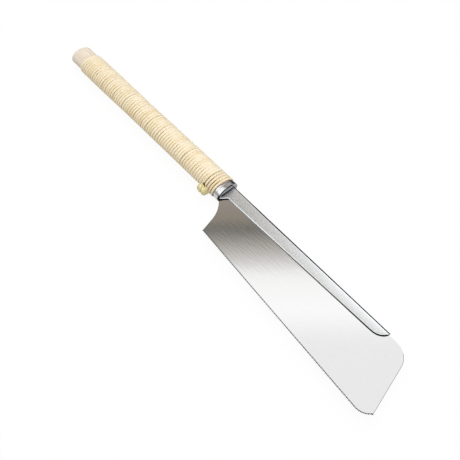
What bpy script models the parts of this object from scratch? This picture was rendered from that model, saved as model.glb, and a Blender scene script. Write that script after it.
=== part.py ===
"""Dozuki: a fine back saw with a cane-bound wooden handle and a blade that pulls out of its socket.

Metres, +Z up. +X runs from the butt of the handle to the toe of the blade, +Y points to the back of
the spine, and the blade lies in the plane Z = 0. The origin is the middle of the butt face.
"""

import math

import bmesh
import bpy
from mathutils import Matrix, Vector

# Fits between pieces
CLEAR = 0.0003
BLADE_FIT = 0.0001

# Wooden core, an oval that swells a little towards the butt
BARE_BUTT = 0.021
GRIP_LENGTH = 0.2664
BUTT_HALF_WIDTH = 0.0143
BUTT_HALF_DEPTH = 0.01005
FRONT_HALF_WIDTH = 0.0136
FRONT_HALF_DEPTH = 0.00954
SWELL_START = 0.055
SWELL_END = 0.135
BUTT_ROUND = 0.0016

# Cane strip
CANE_WIDTH = 0.0036
CANE_THICK = 0.0014
CANE_GAP = 0.00027
CANE_CROWN = 0.60
BINDING_GAP = 0.0006
FRONT_TURNS = 4
FRONT_GAP = 0.0005

# Knot at the end of the cane
KNOT_LENGTH = 0.0155
KNOT_RADIUS = 0.0031
KNOT_STRANDS = 3
KNOT_TWIST = math.radians(50)
KNOT_SET_BACK = 0.0161
KNOT_RISE = 0.0015

# Ferrule, a skirt under the cane and a wider band that shows in front of it
FERRULE_SHOW = 0.0071
FERRULE_SKIRT = 0.0244
FERRULE_WALL = 0.001
FERRULE_FACE = 0.0012
BAND_STEP = 0.0009
BAND_ROUND = 0.0004
MOUTH_RUN = 0.0021
MOUTH_FALL = 0.0019
BRAD_RADIUS = 0.0009
BRAD_COVER = 0.0018
BRAD_SET_BACK = 0.0144

# Socket
SOCKET_WALL = 0.001
SOCKET_SPARE = 0.0014
SOCKET_CORNER = 0.0005
PIN_RADIUS = 0.002

# Spine, a folded steel back
LEAF_THICK = 0.0012
FOLD_WALL = 0.001
LEAF_ROUND = 0.0006
SPINE_FOOT_WIDTH = 0.0154
SPINE_TIP_WIDTH = 0.0107
SPINE_BACK = 0.0099
SPINE_BACK_FALL = 0.0019
NOSE_SET_BACK = 0.0364
NOSE_RADIUS = 0.0133
NOSE_FLAT = 0.0004
FOOT_DROP = 0.0079
FOOT_RUN = 0.0049
TANG_LENGTH = 0.0438
TANG_HALF_WIDTH = 0.0084
FORK_DEPTH = 0.013
FORK_WALL = 0.012

# Blade plate
BLADE_THICK = 0.0003
HEEL_STEP = 0.0012
HEEL_SET = 0.0168
HEEL_DEPTH = 0.0521
HEEL_STRAIGHT = 0.0175
HEEL_RAKE = math.radians(13.3)
TOOTH_LINE_LENGTH = 0.2254
TOOTH_LINE_SLOPE = math.radians(3.82)
TOE_RADIUS = 0.0169
TOE_SWEEP = math.radians(60.9)
END_SLANT = math.radians(10.9)
END_ROUND = 0.018
TOOTH_PITCH = 0.0015
TOOTH_HEIGHT = 0.0012
TOOTH_LEAN = 0.35

# Facets
CORE_SIDES = 36
FERRULE_SIDES = 36
SLEEVE_SIDES = 24
CANE_SIDES = 16
ROD_SIDES = 16

# Stations along the handle that several pieces share
GRIP_END = BARE_BUTT + GRIP_LENGTH
FERRULE_REAR = GRIP_END - FERRULE_SKIRT
FERRULE_FRONT = GRIP_END + FERRULE_SHOW
FOOT = FERRULE_FRONT + CLEAR
TANG_REAR = FOOT - TANG_LENGTH
SOCKET_REAR = TANG_REAR - SOCKET_SPARE
FORK_WIDTH = 2 * (PIN_RADIUS + CLEAR)
FORK_END = TANG_REAR + FORK_DEPTH
PIN_X = FORK_END - FORK_WIDTH / 2
TONGUE_REAR = FORK_END + FORK_WALL
BRAD_X = GRIP_END - BRAD_SET_BACK
HEEL_X = FOOT + HEEL_SET
TOE_TURN = math.sin(TOOTH_LINE_SLOPE) + math.sin(TOE_SWEEP - TOOTH_LINE_SLOPE)
TOE_X = HEEL_X + TOOTH_LINE_LENGTH * math.cos(TOOTH_LINE_SLOPE) + TOE_RADIUS * TOE_TURN
SPINE_LENGTH = TOE_X - NOSE_SET_BACK - FOOT
BAND_HALF_WIDTH = FRONT_HALF_WIDTH + BAND_STEP
BAND_HALF_DEPTH = FRONT_HALF_DEPTH + BAND_STEP

# Half thicknesses that stack up from the blade's middle plane
POCKET_HALF = BLADE_THICK / 2 + BLADE_FIT
SPINE_HALF = POCKET_HALF + LEAF_THICK
BORE_HALF_DEPTH = SPINE_HALF + CLEAR
BORE_HALF_WIDTH = TANG_HALF_WIDTH + CLEAR
SLEEVE_HALF_DEPTH = BORE_HALF_DEPTH + SOCKET_WALL
SLEEVE_HALF_WIDTH = BORE_HALF_WIDTH + SOCKET_WALL
SLEEVE_CORNER = SOCKET_CORNER + SOCKET_WALL


def clear_scene():
    for obj in list(bpy.data.objects):
        bpy.data.objects.remove(obj, do_unlink=True)


def make_material(name, colour, roughness, metallic):
    material = bpy.data.materials.new(name)
    material.use_nodes = True
    shader = material.node_tree.nodes["Principled BSDF"]
    shader.inputs["Base Color"].default_value = (*colour, 1.0)
    shader.inputs["Roughness"].default_value = roughness
    shader.inputs["Metallic"].default_value = metallic
    return material


def make_object(name, bm, material=None, smooth_angle=35):
    """Turns a bmesh into a named object with outward faces and its own material."""
    bmesh.ops.recalc_face_normals(bm, faces=bm.faces)
    mesh = bpy.data.meshes.new(name)
    bm.to_mesh(mesh)
    bm.free()
    obj = bpy.data.objects.new(name, mesh)
    bpy.context.scene.collection.objects.link(obj)
    if material:
        mesh.materials.append(material)
        mesh.shade_smooth()
        mesh.set_sharp_from_angle(angle=math.radians(smooth_angle))
    return obj


def make_cutter(name, bm):
    cutter = make_object(name, bm)
    cutter.hide_render = True
    cutter.display_type = "WIRE"
    return cutter


def cut(obj, cutter):
    modifier = obj.modifiers.new(cutter.name, "BOOLEAN")
    modifier.operation = "DIFFERENCE"
    modifier.solver = "EXACT"
    modifier.object = cutter


def oval(x, half_width, half_depth, sides):
    """Elliptical ring across the handle."""
    angles = [2 * math.pi * i / sides - math.pi / 2 for i in range(sides)]
    return [Vector((x, half_width * math.cos(a), half_depth * math.sin(a))) for a in angles]


def rounded_rectangle(x, half_width, half_depth, corner, sides):
    """Ring across the handle with straight sides and round corners, a quarter of its points on each."""
    corner_points = sides // 4
    ring = []
    for quarter, (sign_y, sign_z) in enumerate(((1, -1), (1, 1), (-1, 1), (-1, -1))):
        for i in range(corner_points):
            angle = math.pi / 2 * (quarter - 1 + i / (corner_points - 1))
            y = sign_y * (half_width - corner) + corner * math.cos(angle)
            z = sign_z * (half_depth - corner) + corner * math.sin(angle)
            ring.append(Vector((x, y, z)))
    return ring


def loft(rings, closed=False):
    """Skin through rings of equal count, capped at both ends or closed into a sleeve."""
    bm = bmesh.new()
    rows = [[bm.verts.new(point) for point in ring] for ring in rings]
    pairs = list(zip(rows, rows[1:]))
    if closed:
        pairs.append((rows[-1], rows[0]))
    else:
        bm.faces.new(rows[0])
        bm.faces.new(rows[-1])
    count = len(rows[0])
    for near, far in pairs:
        for i in range(count):
            j = (i + 1) % count
            bm.faces.new((near[i], near[j], far[j], far[i]))
    return bm


def prism(outline, half_thickness):
    """Plate with the given outline in the plane Z = 0."""
    bm = bmesh.new()
    face = bm.faces.new([bm.verts.new((x, y, -half_thickness)) for x, y in outline])
    extruded = bmesh.ops.extrude_face_region(bm, geom=[face])
    moved = [item for item in extruded["geom"] if isinstance(item, bmesh.types.BMVert)]
    bmesh.ops.translate(bm, vec=(0, 0, 2 * half_thickness), verts=moved)
    return bm


def rod(radius, low, high, x, y=0.0):
    """Round rod along Z from low to high."""
    bm = bmesh.new()
    place = Matrix.Translation((x, y, (low + high) / 2))
    bmesh.ops.create_cone(
        bm,
        cap_ends=True,
        segments=ROD_SIDES,
        radius1=radius,
        radius2=radius,
        depth=high - low,
        matrix=place,
    )
    return bm


def arc(centre, radius, start, sweep, steps):
    """Points on a circle in the plane Z = 0, both ends included."""
    angles = [start + sweep * i / steps for i in range(steps + 1)]
    return [(centre[0] + radius * math.cos(a), centre[1] + radius * math.sin(a)) for a in angles]


def smooth_step(value):
    value = min(max(value, 0.0), 1.0)
    return value * value * (3 - 2 * value)


def core_section(x):
    """Half width and half depth of the wooden core at a station along the handle."""
    share = smooth_step((x - SWELL_START) / (SWELL_END - SWELL_START))
    half_width = BUTT_HALF_WIDTH + (FRONT_HALF_WIDTH - BUTT_HALF_WIDTH) * share
    half_depth = BUTT_HALF_DEPTH + (FRONT_HALF_DEPTH - BUTT_HALF_DEPTH) * share
    return half_width, half_depth


def make_handle_core():
    """Oval wooden core: a bare rounded butt, a tenon inside the ferrule, and a mortise for the socket."""
    rings = []
    half_width, half_depth = core_section(0)
    for share in (0.0, 0.3, 0.65, 1.0):
        inset = BUTT_ROUND * (1 - math.sqrt(1 - (1 - share) ** 2))
        rings.append(oval(BUTT_ROUND * share, half_width - inset, half_depth - inset, CORE_SIDES))
    shoulder = FERRULE_REAR - CLEAR
    swell_steps = 6
    stations = [SWELL_START + (SWELL_END - SWELL_START) * i / swell_steps for i in range(swell_steps + 1)]
    for x in [*stations, shoulder]:
        rings.append(oval(x, *core_section(x), CORE_SIDES))
    inset = FERRULE_WALL + CLEAR
    for x in (shoulder, FERRULE_FRONT - FERRULE_FACE - CLEAR):
        rings.append(oval(x, FRONT_HALF_WIDTH - inset, FRONT_HALF_DEPTH - inset, CORE_SIDES))
    wood = make_material("pale_bare_wood", (0.80, 0.68, 0.54), 0.6, 0.0)
    core = make_object("handle_core", loft(rings), wood)
    mortise_size = (SLEEVE_HALF_WIDTH + CLEAR, SLEEVE_HALF_DEPTH + CLEAR, SLEEVE_CORNER + CLEAR)
    mortise_ends = (SOCKET_REAR - CLEAR, FERRULE_FRONT)
    mortise = loft([rounded_rectangle(x, *mortise_size, SLEEVE_SIDES) for x in mortise_ends])
    cut(core, make_cutter("mortise_cutter", mortise))
    return core


def make_ferrule():
    """Pressed steel cap: a skirt under the cane, a band in front of it, a rounded mouth and a slot in its face."""
    skirt = (FRONT_HALF_WIDTH, FRONT_HALF_DEPTH)
    bore = (FRONT_HALF_WIDTH - FERRULE_WALL, FRONT_HALF_DEPTH - FERRULE_WALL)
    slot = (SLEEVE_HALF_WIDTH + CLEAR, SLEEVE_HALF_DEPTH + CLEAR, SLEEVE_CORNER + CLEAR)
    face = FERRULE_FRONT - FERRULE_FACE
    rings = [oval(x, *skirt, FERRULE_SIDES) for x in (FERRULE_REAR, GRIP_END)]
    for share in (0.0, 0.3, 1.0):
        inset = BAND_ROUND * (1 - math.sqrt(1 - (1 - share) ** 2))
        x = GRIP_END + BAND_ROUND * share
        rings.append(oval(x, BAND_HALF_WIDTH - inset, BAND_HALF_DEPTH - inset, FERRULE_SIDES))
    for step in range(6):
        turn = math.pi / 2 * step / 5
        x = FERRULE_FRONT - MOUTH_RUN * (1 - math.sin(turn))
        fall = MOUTH_FALL * (1 - math.cos(turn))
        rings.append(oval(x, BAND_HALF_WIDTH - fall, BAND_HALF_DEPTH - fall, FERRULE_SIDES))
    rings.append(rounded_rectangle(FERRULE_FRONT, *slot, FERRULE_SIDES))
    rings.append(rounded_rectangle(face, *slot, FERRULE_SIDES))
    rings += [oval(x, *bore, FERRULE_SIDES) for x in (face, FERRULE_REAR)]
    steel = make_material("polished_ferrule_steel", (0.62, 0.62, 0.63), 0.15, 1.0)
    return make_object("ferrule", loft(rings, closed=True), steel)


def make_brads(ferrule, core):
    """Two headless brads, driven through the ferrule's skirt into the tenon from both flats."""
    steel = make_material("brad_steel", (0.45, 0.45, 0.46), 0.4, 1.0)
    top = FRONT_HALF_DEPTH - CLEAR / 3
    tip = SLEEVE_HALF_DEPTH + CLEAR + BRAD_COVER
    for name, side in (("ferrule_pin_upper", 1), ("ferrule_pin_lower", -1)):
        ends = sorted((side * top, side * tip))
        make_object(name, rod(BRAD_RADIUS, *ends, BRAD_X), steel)
        hole = sorted((side * (top + 3 * CLEAR), side * (tip - CLEAR)))
        cutter = make_cutter(name + "_hole", rod(BRAD_RADIUS + CLEAR, *hole, BRAD_X))
        cut(ferrule, cutter)
        cut(core, cutter)


def make_socket():
    """Flattened steel tube that ends level with the ferrule's face, and the pin riveted across it."""
    outer = (SLEEVE_HALF_WIDTH, SLEEVE_HALF_DEPTH, SLEEVE_CORNER)
    bore = (BORE_HALF_WIDTH, BORE_HALF_DEPTH, SOCKET_CORNER)
    profile = ((SOCKET_REAR, outer), (FERRULE_FRONT, outer), (FERRULE_FRONT, bore), (SOCKET_REAR, bore))
    rings = [rounded_rectangle(x, *size, SLEEVE_SIDES) for x, size in profile]
    steel = make_material("socket_steel", (0.42, 0.42, 0.43), 0.3, 1.0)
    sleeve = make_object("socket_sleeve", loft(rings, closed=True), steel)
    reach = SLEEVE_HALF_DEPTH + CLEAR
    cut(sleeve, make_cutter("pin_hole", rod(PIN_RADIUS + CLEAR, -reach, reach, PIN_X)))
    pin_steel = make_material("pin_steel", (0.45, 0.45, 0.46), 0.35, 1.0)
    make_object("socket_pin", rod(PIN_RADIUS, -SLEEVE_HALF_DEPTH, SLEEVE_HALF_DEPTH, PIN_X), pin_steel)


def cane_seat(x):
    """Half width and half depth of the cane's inner corners, so that its flats clear the core."""
    circumscribe = 1 / math.cos(math.pi / CANE_SIDES)
    half_width, half_depth = core_section(x)
    return (half_width + CLEAR) * circumscribe, (half_depth + CLEAR) * circumscribe


def cane_helix(name, start, pitch, turns, material, lead=0.0):
    """Left-handed strip of cane wound round the core, with its crown narrower than its seat."""
    steps = round(turns * CANE_SIDES)
    seat, crown = CANE_WIDTH / 2, CANE_WIDTH / 2 * CANE_CROWN
    rings = []
    for i in range(steps + 1):
        progress = max(i / CANE_SIDES, lead)
        angle = -2 * math.pi * progress
        x = start + pitch * progress
        half_width, half_depth = cane_seat(x)
        ring = []
        for shift, rise in ((-seat, 0), (seat, 0), (crown, CANE_THICK), (-crown, CANE_THICK)):
            y = (half_width + rise) * math.cos(angle)
            z = (half_depth + rise) * math.sin(angle)
            ring.append(Vector((x + shift, y, z)))
        rings.append(ring)
    return make_object(name, loft(rings), material)


def make_cane():
    """The long winding of the grip, the front turns over the ferrule's skirt, and the knotted end."""
    cane = make_material("peeled_cane", (0.82, 0.70, 0.45), 0.45, 0.0)
    spacing = CANE_WIDTH + CANE_GAP
    front_spacing = CANE_WIDTH + FRONT_GAP
    front_start = GRIP_END - CLEAR - CANE_WIDTH / 2 - FRONT_TURNS * front_spacing
    end_gap = CLEAR / (2 * math.pi * FRONT_HALF_DEPTH)
    cane_helix("rattan_front_wrap", front_start, front_spacing, FRONT_TURNS, cane, end_gap)
    start = BARE_BUTT + CANE_WIDTH / 2
    end = front_start - BINDING_GAP
    turns = math.floor((end - start) / spacing)
    cane_helix("rattan_wrap", start, (end - start) / turns, turns, cane)
    make_knot(cane)


def make_knot(cane):
    """The cane's end, twisted into a short bundle of strands that lies along the tooth side of the grip."""
    middle = GRIP_END - KNOT_SET_BACK
    seat = cane_seat(middle)[0] + CANE_THICK + CLEAR
    bulge = 0.12
    steps = 12
    rings = []
    for i in range(steps + 1):
        along = math.cos(math.pi * i / steps)
        x = middle - KNOT_LENGTH / 2 * along
        radius = KNOT_RADIUS / (1 + bulge) * max(math.sqrt(1 - abs(along) ** 3), 0.25)
        ring = []
        for j in range(4 * KNOT_STRANDS):
            angle = 2 * math.pi * j / (4 * KNOT_STRANDS)
            lobed = radius * (1 + bulge * math.cos(KNOT_STRANDS * angle))
            turned = angle + KNOT_TWIST * along
            y = lobed * math.cos(turned) - seat - KNOT_RADIUS
            ring.append(Vector((x, y, KNOT_RISE + lobed * math.sin(turned))))
        rings.append(ring)
    make_object("rattan_knot", loft(rings), cane)


def spine_edges(x):
    """Lower edge and back of the spine at a station: both run straight, and its width tapers to the nose."""
    share = (x - FOOT) / SPINE_LENGTH
    back = SPINE_BACK - SPINE_BACK_FALL * share
    return back - (SPINE_FOOT_WIDTH + (SPINE_TIP_WIDTH - SPINE_FOOT_WIDTH) * share), back


def spine_outline():
    nose = FOOT + SPINE_LENGTH
    nose_low, nose_top = spine_edges(nose)
    sweep = math.acos(1 - (SPINE_TIP_WIDTH - NOSE_FLAT) / NOSE_RADIUS)
    centre = (nose - NOSE_RADIUS * math.sin(sweep), nose_low + NOSE_RADIUS)
    foot_low, foot_top = spine_edges(FOOT)
    run_low = spine_edges(FOOT + FOOT_RUN)[0]
    return [
        (TANG_REAR, -TANG_HALF_WIDTH),
        (FOOT, -TANG_HALF_WIDTH),
        (FOOT, foot_low - FOOT_DROP),
        (FOOT + FOOT_RUN, run_low),
        *arc(centre, NOSE_RADIUS, -math.pi / 2, sweep, 10),
        (nose, nose_top),
        (FOOT, foot_top),
        (FOOT, TANG_HALF_WIDTH),
        (TANG_REAR, TANG_HALF_WIDTH),
    ]


def make_spine():
    """Steel strip folded over the blade: rounded edges, a pocket for the blade, a foot and a forked tang."""
    bm = prism(spine_outline(), SPINE_HALF)

    def is_rim(edge):
        a, b = (v.co for v in edge.verts)
        return abs(a.z - b.z) < LEAF_ROUND and min(a.x, b.x) > FOOT - CLEAR and max(a.x, b.x) > FOOT + CLEAR

    bmesh.ops.bevel(
        bm,
        geom=[edge for edge in bm.edges if is_rim(edge)],
        offset=LEAF_ROUND,
        offset_type="OFFSET",
        segments=2,
        profile=0.5,
        affect="EDGES",
    )
    steel = make_material("satin_spine_steel", (0.58, 0.58, 0.58), 0.4, 1.0)
    spine = make_object("spine", bm, steel, smooth_angle=20)
    reach = SPINE_LENGTH
    foot_top = spine_edges(FOOT)[1] - FOLD_WALL
    far_top = spine_edges(FOOT + 2 * reach)[1] - FOLD_WALL
    pocket = [
        (TANG_REAR - reach, -reach),
        (FOOT + 2 * reach, -reach),
        (FOOT + 2 * reach, far_top),
        (FOOT, foot_top),
        (FOOT, TANG_HALF_WIDTH - FOLD_WALL),
        (TANG_REAR - reach, TANG_HALF_WIDTH - FOLD_WALL),
    ]
    cut(spine, make_cutter("blade_pocket", prism(pocket, POCKET_HALF)))
    half = FORK_WIDTH / 2
    fork = [
        (TANG_REAR - half, -half),
        *arc((PIN_X, 0), half, -math.pi / 2, math.pi, 10),
        (TANG_REAR - half, half),
    ]
    cut(spine, make_cutter("fork_slot", prism(fork, 2 * SPINE_HALF)))
    return spine


def tooth_path(distance):
    """Point on the line of the tooth tips and its inward direction, straight first and then round the toe."""
    heel = Vector((HEEL_X, -HEEL_DEPTH))
    along = Vector((math.cos(TOOTH_LINE_SLOPE), -math.sin(TOOTH_LINE_SLOPE)))
    inward = Vector((math.sin(TOOTH_LINE_SLOPE), math.cos(TOOTH_LINE_SLOPE)))
    if distance <= TOOTH_LINE_LENGTH:
        return heel + along * distance, inward
    angle = (distance - TOOTH_LINE_LENGTH) / TOE_RADIUS
    centre = heel + along * TOOTH_LINE_LENGTH + inward * TOE_RADIUS
    outward = along * math.sin(angle) - inward * math.cos(angle)
    return centre + outward * TOE_RADIUS, -outward


def tooth_points():
    """Raked pull teeth from the heel to the toe corner: a gullet, then a tip that leans to the handle."""
    length = TOOTH_LINE_LENGTH + TOE_RADIUS * TOE_SWEEP
    count = round(length / TOOTH_PITCH)
    pitch = length / count
    points = []
    for i in range(count):
        tip, _ = tooth_path(pitch * (i + TOOTH_LEAN))
        root, inward = tooth_path(pitch * (i + 1))
        points.append(tuple(tip))
        points.append(tuple(root + inward * TOOTH_HEIGHT))
    return points


def heel_points(heel):
    """Concave heel: an arc from under the spine's foot, tangent to a straight run down to the first tooth."""
    root = Vector((FOOT, spine_edges(FOOT)[0] - FOOT_DROP - HEEL_STEP))
    up = Vector((-math.sin(HEEL_RAKE), math.cos(HEEL_RAKE)))
    bend = Vector(heel) + up * HEEL_STRAIGHT
    outside = Vector((-up.y, up.x))
    chord = root - bend
    radius = chord.length_squared / (2 * chord.dot(outside))
    centre = bend + outside * radius
    start = math.atan2(root.y - centre.y, root.x - centre.x)
    stop = math.atan2(bend.y - centre.y, bend.x - centre.x)
    return arc(centre, radius, start, stop - start, 10)


def blade_outline():
    heel = (HEEL_X, -HEEL_DEPTH)
    teeth = tooth_points()
    toe = Vector(tooth_path(TOOTH_LINE_LENGTH + TOE_RADIUS * TOE_SWEEP)[0])
    top_drop = FOLD_WALL + BLADE_FIT
    top_start = Vector((FOOT + BLADE_FIT, spine_edges(FOOT)[1] - top_drop))
    top_end = Vector((FOOT + SPINE_LENGTH, spine_edges(FOOT + SPINE_LENGTH)[1] - top_drop))
    top_slope = math.atan2(top_end.y - top_start.y, top_end.x - top_start.x)
    end_angle = math.pi / 2 + END_SLANT
    run = Vector((math.cos(top_slope), math.sin(top_slope)))
    rise = Vector((math.cos(end_angle), math.sin(end_angle)))
    # Corner where the end edge meets the line of the top edge, and the round that takes it off
    across = Vector((-run.y, run.x))
    corner = toe + rise * ((top_start - toe).dot(across) / rise.dot(across))
    turn = math.pi - end_angle + top_slope
    trim = END_ROUND * math.tan(turn / 2)
    centre = corner - rise * trim + Vector((-rise.y, rise.x)) * END_ROUND
    tongue_low = -TANG_HALF_WIDTH + CLEAR
    tongue_top = TANG_HALF_WIDTH - top_drop
    return [
        *heel_points(heel),
        heel,
        *teeth[:-1],
        tuple(toe),
        *arc(centre, END_ROUND, end_angle - math.pi / 2, turn, 12),
        tuple(top_start),
        (FOOT + BLADE_FIT, tongue_top),
        (TONGUE_REAR, tongue_top),
        (TONGUE_REAR, tongue_low),
        (FOOT, tongue_low),
    ]


def make_blade():
    steel = make_material("hardened_blade_steel", (0.66, 0.65, 0.63), 0.25, 1.0)
    return make_object("saw_blade", prism(blade_outline(), BLADE_THICK / 2), steel)


def make_blade_unit():
    """Blade and spine hang from one empty on the axis along which they pull out of the socket."""
    pull_axis = bpy.data.objects.new("pull_axis", None)
    pull_axis.location = (FOOT, 0, 0)
    bpy.context.scene.collection.objects.link(pull_axis)
    for piece in (make_spine(), make_blade()):
        piece.parent = pull_axis
        piece.matrix_parent_inverse = Matrix.Translation((-FOOT, 0, 0))


def main():
    clear_scene()
    core = make_handle_core()
    ferrule = make_ferrule()
    make_brads(ferrule, core)
    make_socket()
    make_cane()
    make_blade_unit()


main()
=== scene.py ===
import bpy
import numpy as np
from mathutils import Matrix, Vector


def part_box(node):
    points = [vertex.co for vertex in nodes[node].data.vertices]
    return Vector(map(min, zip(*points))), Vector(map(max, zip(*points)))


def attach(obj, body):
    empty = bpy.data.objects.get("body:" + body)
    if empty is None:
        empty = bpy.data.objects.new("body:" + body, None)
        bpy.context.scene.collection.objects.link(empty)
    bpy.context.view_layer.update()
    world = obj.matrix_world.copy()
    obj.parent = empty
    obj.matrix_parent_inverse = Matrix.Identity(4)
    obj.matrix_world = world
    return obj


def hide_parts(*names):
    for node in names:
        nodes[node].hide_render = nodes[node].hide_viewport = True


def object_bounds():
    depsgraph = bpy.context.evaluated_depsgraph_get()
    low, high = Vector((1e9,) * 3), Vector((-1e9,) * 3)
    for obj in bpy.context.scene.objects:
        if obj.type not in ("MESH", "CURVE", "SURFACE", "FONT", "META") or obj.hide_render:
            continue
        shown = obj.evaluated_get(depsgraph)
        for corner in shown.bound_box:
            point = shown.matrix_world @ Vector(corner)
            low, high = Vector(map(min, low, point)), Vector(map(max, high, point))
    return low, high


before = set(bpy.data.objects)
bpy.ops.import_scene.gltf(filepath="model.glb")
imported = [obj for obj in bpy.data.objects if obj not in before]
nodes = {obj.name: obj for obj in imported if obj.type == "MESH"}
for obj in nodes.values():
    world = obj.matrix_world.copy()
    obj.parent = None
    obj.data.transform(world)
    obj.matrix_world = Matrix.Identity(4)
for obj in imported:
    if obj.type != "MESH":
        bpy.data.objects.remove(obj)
cadLow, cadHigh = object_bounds()
mm = 0.001
pi = np.pi


def nodeBox(name):
    # lowest and highest corner of a CAD node, in millimetres
    return tuple(np.array(corner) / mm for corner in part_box(name))


# Small tools for materials

def linear(hexColour):
    # sRGB hex to linear light
    shade = np.array([int(hexColour[i:i + 2], 16) for i in (1, 3, 5)]) / 255
    light = np.where(shade <= 0.04045, shade / 12.92, ((shade + 0.055) / 1.055) ** 2.4)
    return (*light.tolist(), 1.0)


def feed(tree, node, links):
    # links into a node's sockets, each from another node's first output or from a node and one of its outputs
    for key, source in links.items():
        source, output = source if isinstance(source, tuple) else (source, 0)
        tree.links.new(source.outputs[output], node.inputs[key])


def addNode(tree, kind, settings=None, links=None):
    # one shader node: settings are properties, socket values, hex colours or colour stops
    node = tree.nodes.new("ShaderNode" + kind)
    for key, value in (settings or {}).items():
        if isinstance(value, str) and value.startswith("#"):
            value = linear(value)
        if key == "stops":
            ramp = node.color_ramp
            while len(ramp.elements) < len(value):
                ramp.elements.new(0.5)
            for element, (place, colour) in zip(ramp.elements, value):
                element.position = place
                element.color = linear(colour)
        elif isinstance(key, str) and key in node.bl_rna.properties:
            setattr(node, key, value)
        else:
            node.inputs[key].default_value = value
    feed(tree, node, links or {})
    return node


def newMaterial(name, settings):
    # a material with one Principled shader, whose even values are set on its own sockets
    material = bpy.data.materials.new(name)
    material.use_nodes = True
    tree = material.node_tree
    shader = tree.nodes["Principled BSDF"]
    for key, value in settings.items():
        shader.inputs[key].default_value = value
    return material, tree, shader


def grainPattern(tree, cells, detail, roughness=0.5, source=None):
    # noise stretched into cells of these sizes: millimetres along the object's axes, or units of the source
    if source is None:
        source = (addNode(tree, "TexCoord"), "Object")
        cells = np.array(cells) * mm
    stretched = addNode(tree, "Mapping", {"Scale": [1 / cell for cell in cells]}, {0: source})
    return addNode(tree, "TexNoise", {"Scale": 1.0, "Detail": detail, "Roughness": roughness}, {0: stretched})


def tinted(tree, under, colour, attribute):
    # a colour laid over another by the share that an attribute holds, as a source for links
    share = addNode(tree, "Attribute", {"attribute_name": attribute})
    return addNode(tree, "Mix", {"data_type": "RGBA", 7: colour}, {0: (share, "Fac"), 6: under}), 2


# Small tools for meshes

def gridQuads(rows, columns, closeRows=False, closeColumns=False):
    # quads between neighbouring points of a grid, wrapping round where a direction is closed
    row = np.arange(rows if closeRows else rows - 1)[:, None]
    column = np.arange(columns if closeColumns else columns - 1)[None, :]
    nextRow, nextColumn = (row + 1) % rows, (column + 1) % columns
    corners = (row * columns + column, row * columns + nextColumn,
               nextRow * columns + nextColumn, nextRow * columns + column)
    return np.stack(np.broadcast_arrays(*corners), axis=-1).reshape(-1, 4)


def tubeFaces(rows, columns, base=0):
    # grid that closes round its columns, with a cap at each end, all turned the same way
    ends = np.arange(columns)
    caps = [ends[::-1], ends + (rows - 1) * columns]
    quads = (gridQuads(rows, columns, closeColumns=True) + base).tolist()
    return quads + [(cap + base).tolist() for cap in caps]


def bandFaces(count, first, second):
    # quads between two closed loops of points, which start at these numbers
    loop = np.arange(count)
    following = (loop + 1) % count
    return np.stack([first + loop, first + following, second + following, second + loop], axis=-1).tolist()


def signedVolume(points, faces):
    # sum over a fan of triangles of a dot (b cross c) / 6, negative where the faces point inwards
    total = 0.0
    for size in {len(face) for face in faces}:
        loops = np.array([face for face in faces if len(face) == size])
        for k in range(1, size - 1):
            a, b, c = points[loops[:, 0]], points[loops[:, k]], points[loops[:, k + 1]]
            total += np.einsum("ij,ij->i", a, np.cross(b, c)).sum() / 6
    return total


def outward(points, faces):
    # the faces of a closed shape, all reversed where they point inwards
    faces = [list(face) for face in faces]
    return faces if signedVolume(points, faces) > 0 else [face[::-1] for face in faces]


def makePiece(name, points, faces, body, material, attributes=None, sharpAngle=40, stands=()):
    # a closed mesh with outward faces at its place in the frame, riding on a body
    faces = outward(points, faces)
    mesh = bpy.data.meshes.new(name)
    mesh.from_pydata((points * mm).tolist(), [], faces)
    for key, values in (attributes or {}).items():
        kind, field = ("FLOAT_VECTOR", "vector") if values.ndim == 2 else ("FLOAT", "value")
        layer = mesh.attributes.new(key, kind, "POINT")
        layer.data.foreach_set(field, values.astype(np.float32).ravel())
    mesh.materials.append(material)
    mesh.shade_smooth()
    mesh.set_sharp_from_angle(angle=np.radians(sharpAngle))
    mesh.update()
    piece = bpy.data.objects.new(name, mesh)
    bpy.context.scene.collection.objects.link(piece)
    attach(piece, body)
    if stands:
        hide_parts(*stands)
    print("piece", name, len(mesh.polygons), "faces")
    return piece


def circle(sides):
    # even angles round a ring
    return 2 * pi * np.arange(sides) / sides


def superOval(station, halfWidth, halfDepth, angles, power=2.0):
    # ring across the handle: |y / halfWidth|^power + |z / halfDepth|^power = 1, an oval at power 2
    across, up = np.cos(angles), np.sin(angles)
    y = halfWidth * np.sign(across) * np.abs(across) ** (2 / power)
    z = halfDepth * np.sign(up) * np.abs(up) ** (2 / power)
    return np.stack([np.full_like(y, station), y, z], axis=-1)


def unit(directions):
    return directions / np.linalg.norm(directions, axis=-1, keepdims=True)


def ease(value):
    # smooth step from 0 to 1
    value = np.clip(value, 0, 1)
    return value * value * (3 - 2 * value)


def hump(values, centre, span):
    # bell of height 1
    return np.exp(-((values - centre) / span) ** 2)


def wander(values, seed, waves=6, span=1.0):
    # smooth irregular signal within about -1 to 1: a sum of sines whose lengths and phases are seeded
    chance = np.random.default_rng(seed)
    lengths = span * chance.uniform(0.6, 2.4, waves)
    phases = chance.uniform(0, 2 * pi, waves)
    return np.sin(2 * pi * values[..., None] / lengths + phases).sum(axis=-1) / np.sqrt(2 * waves)


# Camera: perspective from the even pitch of the cane and the ovals of its turns

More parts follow.
